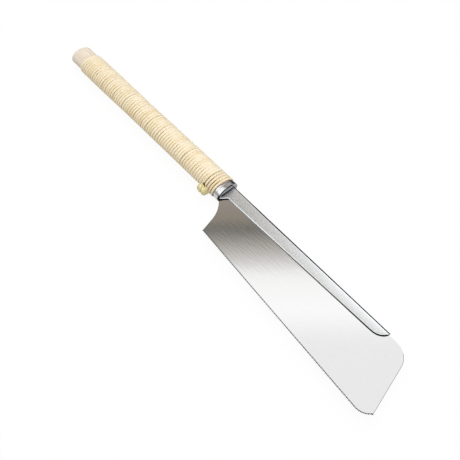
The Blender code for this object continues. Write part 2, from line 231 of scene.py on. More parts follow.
viewpoint = {
    "azimuth": 48.5,
    "elevation": 60.2,
    "target": (330.2, -29.63, 0.0),  # where the middle of the picture meets the plane of the blade
    "distance": 528.1,
    "focalPixels": 500.0,
    "framePixels": 460.0,
    "sensor": 36.0,
    "clip": (0.01, 50.0),            # metres
}
turn, rise = np.radians(viewpoint["azimuth"]), np.radians(viewpoint["elevation"])
back = Vector((np.sin(turn) * np.cos(rise), -np.cos(turn) * np.cos(rise), np.sin(rise)))
cameraData = bpy.data.cameras.new("productCamera")
cameraData.sensor_width = viewpoint["sensor"]
cameraData.lens = viewpoint["focalPixels"] / viewpoint["framePixels"] * viewpoint["sensor"]
cameraData.clip_start, cameraData.clip_end = viewpoint["clip"]
camera = bpy.data.objects.new("productCamera", cameraData)
camera.location = (Vector(viewpoint["target"]) + back * viewpoint["distance"]) * mm
camera.rotation_mode = "QUATERNION"
camera.rotation_quaternion = (-back).to_track_quat("-Z", "Y")
bpy.context.scene.collection.objects.link(camera)
bpy.context.scene.camera = camera
print("camera lens", round(cameraData.lens, 2))


# Finishes

def paleWood():
    # Sanded magnolia, bare: a pinkish white with faint long grain and a dry, even sheen. Under the binding
    # it is painted dark brown, painted shade that darkens the gaps between the turns
    grain = {"line": (26.0, 1.1, 1.1), "depth": 0.08, "light": "#f5e9da", "middle": "#eedec9",
             "dark": "#dcc5a8", "bound": "#84746e"}
    material, tree, shader = newMaterial("sandedMagnoliaWood", {"Roughness": 0.62, "IOR": 1.46})
    lines = grainPattern(tree, grain["line"], 5.0, 0.6)
    stops = ((0.30, grain["dark"]), (0.48, grain["middle"]), (0.66, grain["light"]))
    tone = addNode(tree, "ValToRGB", {"stops": stops}, {0: lines})
    bump = addNode(tree, "Bump", {"Strength": 0.18, "Distance": grain["depth"] * mm}, {"Height": lines})
    shadedUnderBinding = tinted(tree, tone, grain["bound"], "boundShare")
    feed(tree, shader, {"Base Color": shadedUnderBinding, "Normal": bump})
    return material


def peeledCane(name, crownColour, middleColour, edgeShadeColour):
    # Peeled rattan: straw strips with fine fibres along their length, paler crowns, a painted highlight, and
    # browner edges, painted shade where the turns meet. The attribute canePlace holds millimetres along the
    # strip, -1 to 1 across its 3.6 mm, and the turn number
    fibre = {"cell": (9.0, 0.35 / 1.8, 1 / 3), "depth": 0.05, "strength": 0.75,
             "blotch": (38.0, 4.0, 1 / 0.9), "blotchStrength": 0.9}
    material, tree, shader = newMaterial(name, {"Roughness": 0.42, "IOR": 1.5})
    place = addNode(tree, "Attribute", {"attribute_name": "canePlace"})
    split = addNode(tree, "SeparateXYZ", None, {0: (place, "Vector")})
    fibres = grainPattern(tree, fibre["cell"], 4.0, 0.62, (place, "Vector"))
    blotches = grainPattern(tree, fibre["blotch"], 2.0, 0.5, (place, "Vector"))
    edge = addNode(tree, "Math", {"operation": "ABSOLUTE"}, {0: (split, "Y")})
    stops = ((0.0, crownColour), (0.62, middleColour), (0.98, edgeShadeColour))
    tone = addNode(tree, "ValToRGB", {"stops": stops}, {0: edge})
    stops = ((0.32, "#f3ecd8"), (0.5, "#fcf9f0"), (0.7, "#ffffff"))
    fibreTone = addNode(tree, "ValToRGB", {"stops": stops}, {0: fibres})
    stops = ((0.34, "#f8f0dc"), (0.5, "#fefcf6"), (0.66, "#fffcf6"))
    blotchTone = addNode(tree, "ValToRGB", {"stops": stops}, {0: blotches})
    darken = {"data_type": "RGBA", "blend_type": "MULTIPLY"}
    fibred = addNode(tree, "Mix", {**darken, 0: fibre["strength"]}, {6: tone, 7: fibreTone})
    mottled = addNode(tree, "Mix", {**darken, 0: fibre["blotchStrength"]}, {6: (fibred, 2), 7: blotchTone})
    bump = addNode(tree, "Bump", {"Strength": 0.15, "Distance": fibre["depth"] * mm}, {"Height": fibres})
    feed(tree, shader, {"Base Color": (mottled, 2), "Normal": bump})
    return material


def polishedSteel():
    # Polished pressed steel: a bright, slightly swirled mirror that blurs what it reflects a little, with
    # painted shade, dark lines and patches on its bead, edge, face and slot, where its shade attribute is 1
    polish = {"swirl": (0.5, 7.0, 7.0), "colour": "#cfcfd1", "paintedShade": "#1f1f1e", "smooth": 0.10, "rough": 0.22}
    material, tree, shader = newMaterial("polishedFerruleSteel", {"Metallic": 1.0})
    swirls = grainPattern(tree, polish["swirl"], 3.0)
    rough = addNode(tree, "MapRange", {3: polish["smooth"], 4: polish["rough"]}, {0: swirls})
    paintedShade = addNode(tree, "Attribute", {"attribute_name": "soilShare"})
    colours = {"data_type": "RGBA", 6: polish["colour"], 7: polish["paintedShade"]}
    shadePainted = addNode(tree, "Mix", colours, {0: (paintedShade, "Fac")})
    feed(tree, shader, {"Base Color": (shadePainted, 2), "Roughness": rough})
    return material


def plainSteel():
    # Plain drawn steel, a little darkened by oil: grey, dull and faintly streaked
    drawn = {"streak": (6.0, 0.6, 0.6), "low": "#77777a", "high": "#98989b", "smooth": 0.28, "rough": 0.48}
    material, tree, shader = newMaterial("oiledDrawnSteel", {"Metallic": 1.0})
    streaks = grainPattern(tree, drawn["streak"], 4.0)
    tone = addNode(tree, "ValToRGB", {"stops": ((0.35, drawn["low"]), (0.65, drawn["high"]))}, {0: streaks})
    rough = addNode(tree, "MapRange", {3: drawn["smooth"], 4: drawn["rough"]}, {0: streaks})
    feed(tree, shader, {"Base Color": tone, "Roughness": rough})
    return material


def satinSteel():
    # Cold-rolled strip with a blasted satin face: an even grey with a fine speckle and a short cross grain,
    # which wear smooth towards the nose. It has a painted highlight, near white, where its highlight
    # attribute is 1, and painted shade and a painted dark reflection, near black, on the cut edges and the
    # fold, where its edge shade attribute is 1. The speckle is drawn 0.8 mm wide so that it shows in the
    # picture
    satin = {"speckle": (0.8, 0.8, 0.8), "cross": (0.7, 4.2, 0.7), "depth": 0.03, "low": "#b0b5ba",
             "high": "#fdfeff", "worn": "#c1beb9", "bright": "#f3f8fd", "edge": "#0a0a0b", "smooth": 0.25,
             "rough": 0.37, "crossShare": 0.25, "wearFrom": 350.0, "wearTo": 470.0, "wornShare": 0.55}
    material, tree, shader = newMaterial("satinSpineSteel", {"Metallic": 1.0})
    speckle = grainPattern(tree, satin["speckle"], 3.0, 0.7)
    cross = grainPattern(tree, satin["cross"], 2.0)
    both = addNode(tree, "Mix", {"data_type": "FLOAT", 0: satin["crossShare"]}, {2: speckle, 3: cross})
    tone = addNode(tree, "ValToRGB", {"stops": ((0.40, satin["low"]), (0.60, satin["high"]))}, {0: both})
    place = addNode(tree, "TexCoord")
    split = addNode(tree, "SeparateXYZ", None, {0: (place, "Object")})
    run = {1: satin["wearFrom"] * mm, 2: satin["wearTo"] * mm, 3: 0.0, 4: satin["wornShare"]}
    wear = addNode(tree, "MapRange", run, {0: (split, "X")})
    worn = addNode(tree, "Mix", {"data_type": "RGBA", 7: satin["worn"]}, {0: wear, 6: tone})
    shiny = tinted(tree, (worn, 2), satin["bright"], "burnish")
    edged = tinted(tree, shiny, satin["edge"], "wallShare")
    rough = addNode(tree, "MapRange", {3: satin["smooth"], 4: satin["rough"]}, {0: both})
    bump = addNode(tree, "Bump", {"Strength": 0.12, "Distance": satin["depth"] * mm}, {"Height": both})
    feed(tree, shader, {"Base Color": edged, "Roughness": rough, "Normal": bump})
    return material


def groundSteel():
    # Ground spring steel: a half-bright mirror with fine grinding lines along the plate, and teeth that
    # hardening left dark grey, a colour that also stands in for their dark reflection; on the cut edges of
    # the heel and the end the same dark grey is painted shade. The attribute edgeShare is 1 on the teeth and
    # cut edges and 0 on the flat. The lines are drawn 1.6 mm wide so that they show in the picture
    ground = {"line": (14.0, 1.6, 1.6), "depth": 0.028, "low": "#cccccd", "high": "#cecece",
              "hardenedAndShade": "#1c1d20", "smooth": 0.06, "rough": 0.09}
    material, tree, shader = newMaterial("groundBladeSteel", {"Metallic": 1.0})
    lines = grainPattern(tree, ground["line"], 3.0)
    tone = addNode(tree, "ValToRGB", {"stops": ((0.35, ground["low"]), (0.65, ground["high"]))}, {0: lines})
    edge = addNode(tree, "Attribute", {"attribute_name": "edgeShare"})
    share = addNode(tree, "MapRange", {1: 0.05, 2: 0.4}, {0: (edge, "Fac")})
    edged = addNode(tree, "Mix", {"data_type": "RGBA", 7: ground["hardenedAndShade"]}, {0: share, 6: tone})
    rough = addNode(tree, "MapRange", {3: ground["smooth"], 4: ground["rough"]}, {0: lines})
    bump = addNode(tree, "Bump", {"Distance": ground["depth"] * mm}, {"Height": lines})
    feed(tree, shader, {"Base Color": (edged, 2), "Roughness": rough, "Normal": bump})
    return material


woodFinish = paleWood()
# the edge colours are painted shade between the turns, darkest on the knot, between its lobes
wrapFinish = peeledCane("peeledRattan", "#fff5e2", "#fdf0d6", "#e9dab4")
frontFinish = peeledCane("peeledRattanFront", "#fcf2df", "#f7e5c4", "#b99c68")
knotFinish = peeledCane("greenRattanKnot", "#f5eec2", "#e9e0aa", "#4e4326")
ferruleFinish = polishedSteel()
hiddenFinish = plainSteel()
spineFinish = satinSteel()
bladeFinish = groundSteel()
print("finishes:", len(bpy.data.materials))


# Wooden core

core = {
    "buttHalf": (14.3, 10.05),   # half width and half depth
    "frontHalf": (13.6, 9.54),
    "swell": (55.0, 135.0),      # stations between which the oval narrows
    "buttRound": 1.6,
    "buttRings": (0.35, 0.7),
    "rimClear": 4.0,             # from the rim to the next ring
    "steps": (9, 4, 32),         # rings on the rim, the bare wood and the bound wood
    "shadeDepths": (1.8, 2.2),         # the wood is painted dark brown as shade from this far under the binding
    "clear": 0.3,                # behind the ferrule and the sleeve
    "tenonInset": 1.3,
    "tenonShort": 1.5,           # the tenon ends this far behind the ferrule's face
    "mortise": (10.0, 3.05, 10.0),
    "sides": 120,
    "faceBack": 1.6,             # the ferrule's face lies this far behind the CAD front
    "bindingShort": 1.0,         # the front turns are wound closer than in the CAD
    "bindingGap": 0.2,
}
wrapLow, wrapHigh = nodeBox("rattan_wrap")
frontLow, frontHigh = nodeBox("rattan_front_wrap")
ferruleLow, ferruleHigh = nodeBox("ferrule")
sleeveLow, sleeveHigh = nodeBox("socket_sleeve")
ferruleFace = ferruleHigh[0] - core["faceBack"]
gripEnd = frontHigh[0] - core["bindingShort"] + core["bindingGap"]


def coreHalf(station):
    # half width and half depth along the handle: an eased step from the butt's oval to the front one
    share = ease((station - core["swell"][0]) / (core["swell"][1] - core["swell"][0]))
    return tuple(butt + (front - butt) * share for butt, front in zip(core["buttHalf"], core["frontHalf"]))


def handleCore():
    # ovals from the middle of the butt over a quarter-round rim along the grip, a step down to the tenon, and
    # back along the mortise, whose rings have a high power and so near-square corners
    angles = circle(core["sides"])
    halfWidth, halfDepth = core["buttHalf"]
    rim, clear, bareEnd = core["buttRound"], core["clear"], wrapLow[0]
    rings = [superOval(0.0, (halfWidth - rim) * share, (halfDepth - rim) * share, angles)
             for share in core["buttRings"]]
    rimSteps, bareSteps, boundSteps = core["steps"]
    for turned in np.linspace(0, pi / 2, rimSteps):
        inset = rim * (1 - np.sin(turned))
        rings.append(superOval(rim * (1 - np.cos(turned)), halfWidth - inset, halfDepth - inset, angles))
    shoulder, tenonEnd = ferruleLow[0] - clear, ferruleFace - core["tenonShort"]
    pale, brown = (bareEnd + depth for depth in core["shadeDepths"])
    bare = np.linspace(rim + core["rimClear"], pale, bareSteps)
    for station in np.concatenate([bare, np.linspace(brown, shoulder, boundSteps)]):
        rings.append(superOval(station, *coreHalf(station), angles))
    tenonHalf = [half - core["tenonInset"] for half in core["frontHalf"]]
    rings += [superOval(station, *tenonHalf, angles) for station in (shoulder, tenonEnd)]
    *mortiseHalf, squareness = core["mortise"]
    rings += [superOval(station, *mortiseHalf, angles, squareness)
              for station in (tenonEnd, sleeveLow[0] - clear)]
    points = np.concatenate(rings)
    # painted shade: the wood under the binding is dark brown, so the gaps between the turns look deep
    boundShare = (points[:, 0] > (pale + brown) / 2).astype(float)
    return makePiece("handleCore", points, tubeFaces(len(rings), core["sides"]), "handle",
                     woodFinish, {"boundShare": boundShare}, stands=("handle_core",))


handleCore()


# Cane windings

cane = {
    "seat": 0.25,            # gap over the wood
    "thick": 1.5,
    "crownPower": 3.1,       # 2 is half-round, larger is flatter
    "pressedPower": 12.0,    # on the side that the palm presses
    "litSideFade": 0.7,      # how far the painted edge shade fades there: painted light on the side that the side light falls on
    "pressedAt": 20.0,       # degrees round the grip, from +Y over the top
    "pressedEase": (0.05, 0.5),
    "stepsPerTurn": 72,
    "profileSteps": 11,
    "turns": 63,
    "gap": (0.10, 0.03),     # between the turns, at the butt and in front
    "openAt": (51.5, 69.5, 77.8, 93.0, 114.5, 126.0, 137.5, 159.5, 180.8, 184.8, 225.5),
    "openBy": (0.5, 0.55, 0.5, 0.5, 0.65, 0.35, 0.55, 0.65, 0.65, 0.4, 0.6),
    "openFacing": 120.0,
    "openSpan": 0.30,
    "nick": (55.2, 123.5, 1.1, 0.014),  # station, degrees round the grip, depth, span in turns
    "unevenPitch": 0.05,
    "unevenWidth": 0.02,
    "unevenLift": 0.05,
    "sink": 0.6,             # share of the uneven lift by which the strip lies lower
    "startRun": 0.35,        # turns over which the first end thickens
    "startThin": 0.25,
    "lastWider": 0.25,       # spreads the last turn towards the front ones
    "lastRun": (0.95, 0.15),
}
frontCane = {
    "start": 0.02,
    "turns": 4,
    "gap": 0.34,
    "thick": 1.55,
    "crownPower": 2.2,
    "pressedPower": 2.8,
    "unevenWidth": 0.03,
    "unevenLift": 0.05,
    "firstWider": 0.2,
    "firstRun": (0.85, 0.15),
    "notch": (166.0, 1.7, 0.026),  # degrees round the grip, depth, span in turns
}


def caneProfile(power, steps):
    # half of a super-oval: -1 to 1 across the strip and 0 to 1 in height, with a flat seat that closes it
    around = np.linspace(pi, 0, steps)
    across = np.sign(np.cos(around)) * np.abs(np.cos(around)) ** (2 / power)
    return across, np.abs(np.sin(around)) ** (2 / power)


def caneStrip(name, turns, station, frontHalf, rearHalf, lift, thick, strip, finish, node):
    # strip wound left-handed on the core's oval: a profile laid across the helix at each step, its height
    # along the oval's normal, and flatter where the palm presses it. canePlace is each point's place on it
    angle = (-2 * pi * turns)[:, None]
    before, run = cane["pressedEase"]
    pressed = ease((np.cos(angle - np.radians(cane["pressedAt"])) + before) / run)
    power = strip["crownPower"] + (strip["pressedPower"] - strip["crownPower"]) * pressed
    across, height = caneProfile(power, cane["profileSteps"])
    x = station[:, None] + np.where(across < 0, rearHalf[:, None], frontHalf[:, None]) * across
    halfWidth, halfDepth = (half + cane["seat"] for half in coreHalf(station[:, None]))
    normalY, normalZ = np.cos(angle) / halfWidth, np.sin(angle) / halfDepth
    stand = (lift[:, None] + height * thick[:, None]) / np.hypot(normalY, normalZ)
    y = halfWidth * np.cos(angle) + stand * normalY
    z = halfDepth * np.sin(angle) + stand * normalZ
    points = np.stack(np.broadcast_arrays(x, y, z), axis=-1).reshape(-1, 3)
    girth = 2 * pi * np.sqrt((core["frontHalf"][0] ** 2 + core["frontHalf"][1] ** 2) / 2)
    # painted light: on the pressed side, where the side light falls, the painted edge shade fades
    worn = across * (1 - cane["litSideFade"] * pressed)
    place = np.stack(np.broadcast_arrays((turns * girth)[:, None], worn, np.floor(turns)[:, None]), axis=-1)
    return makePiece(name, points, tubeFaces(len(turns), cane["profileSteps"]), "handle", finish,
                     {"canePlace": place.reshape(-1, 3)}, sharpAngle=75, stands=(node,))


def turnFacing(station, facing, first, pitch):
    # turn number of the strip that lies behind a station at an angle round the grip, in degrees
    share = 1 - facing / 360
    return np.round((np.asarray(station) - first) / pitch - 0.5 - share) + share


def rattanWrap():
    # the long winding: its pitch is even but for slow unevenness and a few turns that stand a little apart
    count, span = cane["turns"], cane["openSpan"]
    turns = np.linspace(0, count, count * cane["stepsPerTurn"] + 1)
    run = (wrapHigh[0] - wrapLow[0]) * count / (count + 1)
    evenPitch = (run - sum(cane["openBy"])) / count
    first = wrapLow[0] + evenPitch / 2
    extra = np.zeros_like(turns)
    openTurns = turnFacing(cane["openAt"], cane["openFacing"], first, run / count)
    for centre, opening in zip(openTurns, cane["openBy"]):
        extra += opening * hump(turns, centre + 0.5, span) / (np.sqrt(pi) * span)
    pitch = evenPitch * (1 + cane["unevenPitch"] * wander(turns, seed=4, span=2.2)) + extra
    travelled = np.concatenate([[0.0], np.cumsum((pitch[1:] + pitch[:-1]) / 2 * np.diff(turns))])
    station = first + travelled * run / travelled[-1]
    gap = np.interp(turns, (0, count), cane["gap"])
    half = (evenPitch - gap) / 2 * (1 + cane["unevenWidth"] * wander(turns, seed=9, span=1.7))
    nickAt, nickFacing, nickDepth, nickSpan = cane["nick"]
    nick = nickDepth * hump(turns, turnFacing(nickAt, nickFacing, first, run / count), nickSpan)
    notchFacing, notchDepth, notchSpan = frontCane["notch"]
    notch = notchDepth * hump(turns, count - notchFacing / 360, notchSpan)
    before, soon = cane["lastRun"]
    wider = cane["lastWider"] * ease((turns - count + before) / soon) - notch
    lift = cane["unevenLift"] * (wander(turns, seed=2, span=1.3) - cane["sink"])
    taper = cane["startThin"] + (1 - cane["startThin"]) * ease(turns / cane["startRun"])
    return caneStrip("rattanWrap", turns, station, half - nick + wider, half, lift, cane["thick"] * taper,
                     cane, wrapFinish, "rattan_wrap")


def rattanFrontWrap():
    # four tighter, rounder turns over the ferrule's skirt, each clear of the next. The first lies close to
    # the long winding, but for a notch where the knot's strands come out
    count = frontCane["turns"]
    turns = np.linspace(frontCane["start"], count, count * cane["stepsPerTurn"] + 1)
    pitch = (frontHigh[0] - frontLow[0] - core["bindingShort"]) / (count + 1)
    station = frontLow[0] + pitch * (turns + 0.5)
    half = (pitch - frontCane["gap"]) / 2 * (1 + frontCane["unevenWidth"] * wander(turns, seed=21, span=1.1))
    lift = frontCane["unevenLift"] * wander(turns, seed=22, span=0.9)
    facing, depth, span = frontCane["notch"]
    after, soon = frontCane["firstRun"]
    notch = depth * hump(turns, 1 - facing / 360, span)
    wider = frontCane["firstWider"] * (1 - ease((turns - after) / soon)) - notch
    thick = np.full_like(turns, frontCane["thick"])
    return caneStrip("rattanFrontWrap", turns, station, half, half + wider, lift, thick, frontCane,
                     frontFinish, "rattan_front_wrap")


rattanWrap()
rattanFrontWrap()


# Knot at the end of the cane, and the split tail that is tucked under the front turns

knot = {
    "angle": 183.0,        # degrees round the grip, from +Y over the top
    "strands": (           # along the grip, rise, radius, half length, shift round the grip
        (-5.0, 0.6, 2.1, 3.2, 0.0), (-0.8, 0.9, 2.2, 3.6, -0.6), (3.4, 0.6, 2.1, 2.8, -1.0),
        (-2.9, 3.7, 3.2, 3.2, 0.0), (1.7, 3.6, 3.1, 3.0, -0.9), (0.9, -2.0, 1.5, 2.0, 3.0),
    ),                     # the last is the cut end, deep in the hole beside the knot, painted dark all round as the hole's shade
    "lean": 0.45,          # run along the grip for each millimetre round it
    "tuck": 2.6,
    "tuckPower": 5,
    "droop": 0.5,          # share of its rise that a strand loses at its ends
    "droopPower": 3,
    "endPower": 8,         # how late a strand narrows to its end
    "endLeast": 0.03,
    "gather": 0.25,        # share by which the ends draw together
    "cross": 0.3,
    "steps": 36,
    "sides": 14,
}
tail = {
    "span": (127.0, 150.0),
    "strands": 6,
    "from": 262.0,
    "to": 268.4,
    "stagger": 0.5,
    "radius": 0.5,
    "sink": 0.2,
    "uneven": 0.08,
    "sway": (0.25, 2.2),   # width, and turn in radians over half a strand
    "tuck": 1.3,
    "tuckPower": 6,
    "steps": 20,
    "sides": 10,
}

strand = {
    "aside": (0.3, 1.0, 0.25),   # a direction that no strand follows
    # share of the darker edge colour on each strand's sides, painted shade
    "edgeShade": 0.8,
    "turnsApart": 7.0,           # between two strands in the fibre pattern
}


def strandTube(path, radius, sides):
    # round tube along a path: a circle in the plane across each tangent, whose radius follows the path
    tangent = unit(np.gradient(path, axis=0))
    side = unit(np.cross(tangent, np.array(strand["aside"])))
    up = np.cross(side, tangent)
    around = circle(sides)
    ring = side[:, None] * np.cos(around)[None, :, None] + up[:, None] * np.sin(around)[None, :, None]
    return path[:, None] + ring * radius[:, None, None]


def crownFrame(angle):
    # point on the crown of the cane at an angle round the grip, and the directions out of it and up along it
    halfWidth, halfDepth = (half + cane["seat"] + cane["thick"] for half in core["frontHalf"])
    point = np.array([0.0, halfWidth * np.cos(angle), halfDepth * np.sin(angle)])
    out = unit(np.array([0.0, np.cos(angle) / halfWidth, np.sin(angle) / halfDepth]))
    return point, out, np.array([0.0, out[2], -out[1]])


def strandBundle(name, paths, radii, sides, finish, holeShadeStrand=None, stands=()):
    # several tubes with capped ends as one piece, with each strand's place for the fibre pattern. A cut end
    # is painted all round in the dark edge colour, painted shade
    points, faces, places = [], [], []
    steps = len(radii[0])
    for number, (path, radius) in enumerate(zip(paths, radii)):
        faces += tubeFaces(steps, sides, number * steps * sides)
        points.append(strandTube(path, radius, sides).reshape(-1, 3))
        run = np.concatenate([[0.0], np.cumsum(np.linalg.norm(np.diff(path, axis=0), axis=1))])
        across = np.where(number == holeShadeStrand, 1.0, strand["edgeShade"] * np.sin(circle(sides)))
        turnNumber = np.full((1, 1), strand["turnsApart"] * number)
        place = np.broadcast_arrays(run[:, None], across[None, :], turnNumber)
        places.append(np.stack(place, axis=-1).reshape(-1, 3))
    return makePiece(name, np.concatenate(points), faces, "handle", finish,
                     {"canePlace": np.concatenate(places)}, sharpAngle=75, stands=stands)


def rattanKnot():
    # the end of the cane folded back on itself into a bundle of strands that lean across the grip: each
    # strand keeps its place along and out of the bundle, and turns down into the winding at both ends
    low, high = nodeBox("rattan_knot")
    middle = (low[0] + high[0]) / 2
    point, out, up = crownFrame(np.radians(knot["angle"]))
    share = np.sin(np.linspace(-pi / 2, pi / 2, knot["steps"]))
    paths, radii = [], []
    for number, (along, rise, radius, half, shift) in enumerate(knot["strands"]):
        around = half * share + shift
        height = rise * (1 - knot["droop"] * np.abs(share) ** knot["droopPower"])
        height -= knot["tuck"] * np.abs(share) ** knot["tuckPower"]
        path = point + around[:, None] * up + height[:, None] * out
        path[:, 0] = middle + along * (1 - knot["gather"] * share ** 2) - knot["lean"] * around
        path[:, 0] += knot["cross"] * share * (-1) ** number
        paths.append(path)
        radii.append(radius * np.sqrt(np.clip(1 - share ** knot["endPower"], knot["endLeast"], 1)))
    return strandBundle("rattanKnot", paths, radii, knot["sides"], knotFinish, len(paths) - 1,
                        ("rattan_knot",))


def rattanTail():
    # fine strands side by side along the grip, that cross the last turns and go down between them and the
    # front ones
    share = np.linspace(-1, 1, tail["steps"])
    swayWidth, swayTurn = tail["sway"]
    paths = []
    for number, angle in enumerate(np.radians(np.linspace(*tail["span"], tail["strands"]))):
        point, out, up = crownFrame(angle)
        tuck = tail["tuck"] * np.abs(share) ** tail["tuckPower"]
        height = tail["uneven"] * (number % 2) - tail["sink"] - tuck
        path = point + height[:, None] * out + swayWidth * np.sin(swayTurn * share + number)[:, None] * up
        path[:, 0] = np.linspace(tail["from"] + tail["stagger"] * (number % 3), tail["to"], tail["steps"])
        paths.append(path)
    radii = [np.full(tail["steps"], tail["radius"])] * len(paths)
    return strandBundle("rattanTail", paths, radii, tail["sides"], frontFinish)


rattanKnot()
rattanTail()


# Ferrule

ferrule = {
    "skirtHalf": (13.6, 9.54),
    "wall": 1.0,
    "bandStep": 0.9,
    "bead": (1.7, 0.16),     # width and height of the half-round bead beside the binding
    # the bead's far edge is painted dark, a painted shade line between the bead and the band
    "beadShade": 0.75,
    "beadRise": ((0.12, 0.1), (0.3, 0.03), (0.5, 0.0)),  # from the bead up to the band: run and fall
    "bandRun": (1.0, 0.8),   # where the plain band starts and ends, from the bead and from the face
    "edgeRound": 0.3,
    # the eased edge is painted dark from this turn on, a painted shade line round the face
    "edgeShadeFrom": 0.2,
    "rimLine": 1.7,          # width of the painted dark line round the face, painted shade
    "rimFade": 0.25,
    "faceShade": 0.55,
    "lipShade": 0.5,
    "cornerRun": 1.3,
    "cornerFrom": 0.80,      # how near the tooth side the painted shade reaches, 1 is the very end of the oval
    "cornerFade": 0.12,
    "lipFrom": 0.40,         # from here towards the back the painted dark line fades
    "lipFade": 0.25,
    "slotEdge": 0.25,
    "face": 1.2,
    "slot": (10.0, 3.05, 12.0),
    "sides": 160,
    "steps": (13, 4, 6, 4),  # rings on the bead, the band, the edge and the slot's edge
}


def steelFerrule():
    # rings from the skirt over a half-round bead and the band to the eased edge, the flat face and its slot,
    # then back inside. Each ring has a fall below the band and a share of painted shade
    angles = circle(ferrule["sides"])
    rear, front = ferruleLow[0], ferruleFace
    beadWidth, beadHeight = ferrule["bead"]
    beadEnd = gripEnd + beadWidth
    # painted shade at the tooth end of the mouth
    corner = ease((-np.cos(angles) - ferrule["cornerFrom"]) / ferrule["cornerFade"])
    lip = ease((np.cos(angles) - ferrule["lipFrom"]) / ferrule["lipFade"])
    beadSteps, bandSteps, edgeSteps, slotSteps = ferrule["steps"]
    outline = []
    for across in np.linspace(-1, 1, beadSteps):
        fall = beadHeight * (1 - np.sqrt(1 - across ** 2))
        paintedShade = ferrule["beadShade"] * float(across == 1)
        outline.append((gripEnd + beadWidth / 2 * (1 + across), fall, paintedShade))
    outline += [(beadEnd + run, fall, 0.0) for run, fall in ferrule["beadRise"]]
    bandStart, bandStop = ferrule["bandRun"]
    band = np.linspace(beadEnd + bandStart, front - bandStop, bandSteps)
    outline += [(station, 0.0, 0.0) for station in band]
    edge = ferrule["edgeRound"]
    for turned in np.linspace(0, pi / 2, edgeSteps):
        paintedShade = float(ease(turned - ferrule["edgeShadeFrom"]))
        outline.append((front - edge * (1 - np.sin(turned)), edge * (1 - np.cos(turned)), paintedShade))
    for inset, paintedShade in ((0.0, 1.0), (ferrule["rimFade"], ferrule["faceShade"])):
        outline.append((front, edge + ferrule["rimLine"] + inset, paintedShade))
    rings = [superOval(station, *ferrule["skirtHalf"], angles) for station in (rear, gripEnd)]
    paintedShades = [np.zeros_like(angles)] * 2
    for x, fall, paintedShade in outline:
        halves = (half + ferrule["bandStep"] - fall for half in ferrule["skirtHalf"])
        rings.append(superOval(x, *halves, angles))
        nearFace = x > front - ferrule["cornerRun"]
        rimmed = paintedShade + (min(paintedShade, ferrule["lipShade"]) - paintedShade) * lip * nearFace
        paintedShades.append(np.maximum(rimmed, corner * nearFace))
    *slotHalf, squareness = ferrule["slot"]
    # the slot's edge and inside are painted dark, painted shade in the recess
    for turned in np.linspace(0, pi / 2, slotSteps):
        spread = ferrule["slotEdge"] * (1 - np.sin(turned))
        x = front - ferrule["slotEdge"] * (1 - np.cos(turned))
        rings.append(superOval(x, *(half + spread for half in slotHalf), angles, squareness))
        paintedShades.append(np.full_like(angles, max(turned / pi * 2, ferrule["faceShade"])))
    inside = front - ferrule["face"]
    rings.append(superOval(inside, *slotHalf, angles, squareness))
    boreHalf = [half - ferrule["wall"] for half in ferrule["skirtHalf"]]
    rings += [superOval(station, *boreHalf, angles) for station in (inside, rear)]
    paintedShades += [np.ones_like(angles)] * 3
    faces = gridQuads(len(rings), ferrule["sides"], closeRows=True, closeColumns=True)
    return makePiece("steelFerrule", np.concatenate(rings), faces, "handle", ferruleFinish,
                     {"soilShare": np.concatenate(paintedShades)}, sharpAngle=50, stands=("ferrule",))


def socketSleeve():
    # flattened tube with near-square corners, from its rear end to just behind the ferrule's face
    angles, squareness = circle(ferrule["sides"]), ferrule["slot"][2]
    outer = sleeveHigh[1:]
    ends = (sleeveLow[0], ferruleFace - ferrule["slotEdge"])
    rings = [superOval(station, *half, angles, squareness)
             for half, stations in ((outer, ends), (outer - ferrule["wall"], ends[::-1]))
             for station in stations]
    faces = gridQuads(len(rings), ferrule["sides"], closeRows=True, closeColumns=True)
    return makePiece("socketSleeve", np.concatenate(rings), faces, "handle", hiddenFinish,
                     sharpAngle=50, stands=("socket_sleeve",))


steelFerrule()
socketSleeve()


# Spine

spine = {
    "foot": 293.1,
    "footWidth": 15.4,
    "tipWidth": 11.0,
    "back": 9.9,
    "backFall": 1.5,
    "noseRadius": 15.0,
    "noseFlat": 0.4,
    "footDrop": 8.5,
    "footRun": 6.6,
    "half": 1.45,
    "pocketHalf": 0.25,
    "foldWall": 1.0,
    "foldLeast": 0.05,
    "fullHeight": 4.0,               # below this height the small roundings shrink, down to the least scale
    "leastScale": 0.1,
    "leafRound": 0.28,
    "leafTurn": 0.5,                 # radians round the eased edge after which it is bright
    "bevelWidth": 0.8,
    "bevelTilt": 9.0,
    "bevelRows": (0.12, 0.4, 0.7, 1.0),
    "footBevel": 0.25,               # how much wider the bevel is on the foot
    "bead": (0.12, 0.6, 1.0),        # bead at the blade, painted dark as shade: in the middle, nose, foot
    "wallDark": (0.65, 0.22, 0.25),  # painted shade share of the wall past the foot, where it rises, how soon
    "lowerDark": ((0.2, 0.5, 1.0), (0.0, 0.4, 0.55)),  # places along it and share of painted shade on the bevel
    "lowerBlur": 0.3,
    "foldRound": 0.5,
    "foldDark": ((0.0, 0.25, 1.0), (0.5, 1.05, 0.8)),  # places and width of the strip beside the fold painted dark, a painted dark reflection
    "flatEdge": 0.15,
    "rim": 1.1,                      # strip beside the fold with a painted highlight
    "rimEdge": 0.06,
    "burnish": 0.6,                  # how much painted highlight the flat takes towards the rim
    "noseDark": 120.0,               # length over which the painted shade on the lower edge deepens towards the nose
    "noseRun": 26.0,
    "footFade": 2.0,
    "tipFade": 2.2,                  # the tip of the foot is painted dark as shade
    "tangHalf": 8.4,
    "tangLength": 42.1,
    "tangReach": 0.2,                # into the foot
    "forkDepth": 13.0,
    "forkHalf": 2.3,
    "foldReach": 0.1,
    "lowerSteps": (8, 60, 30),       # points on the flare, the straight edge and the nose
    "sectionSteps": (5, 7, 12),      # rows on the bead, the eased edge and the fold
    "forkSteps": 15,
}
spineNose = nodeBox("spine")[1][0]


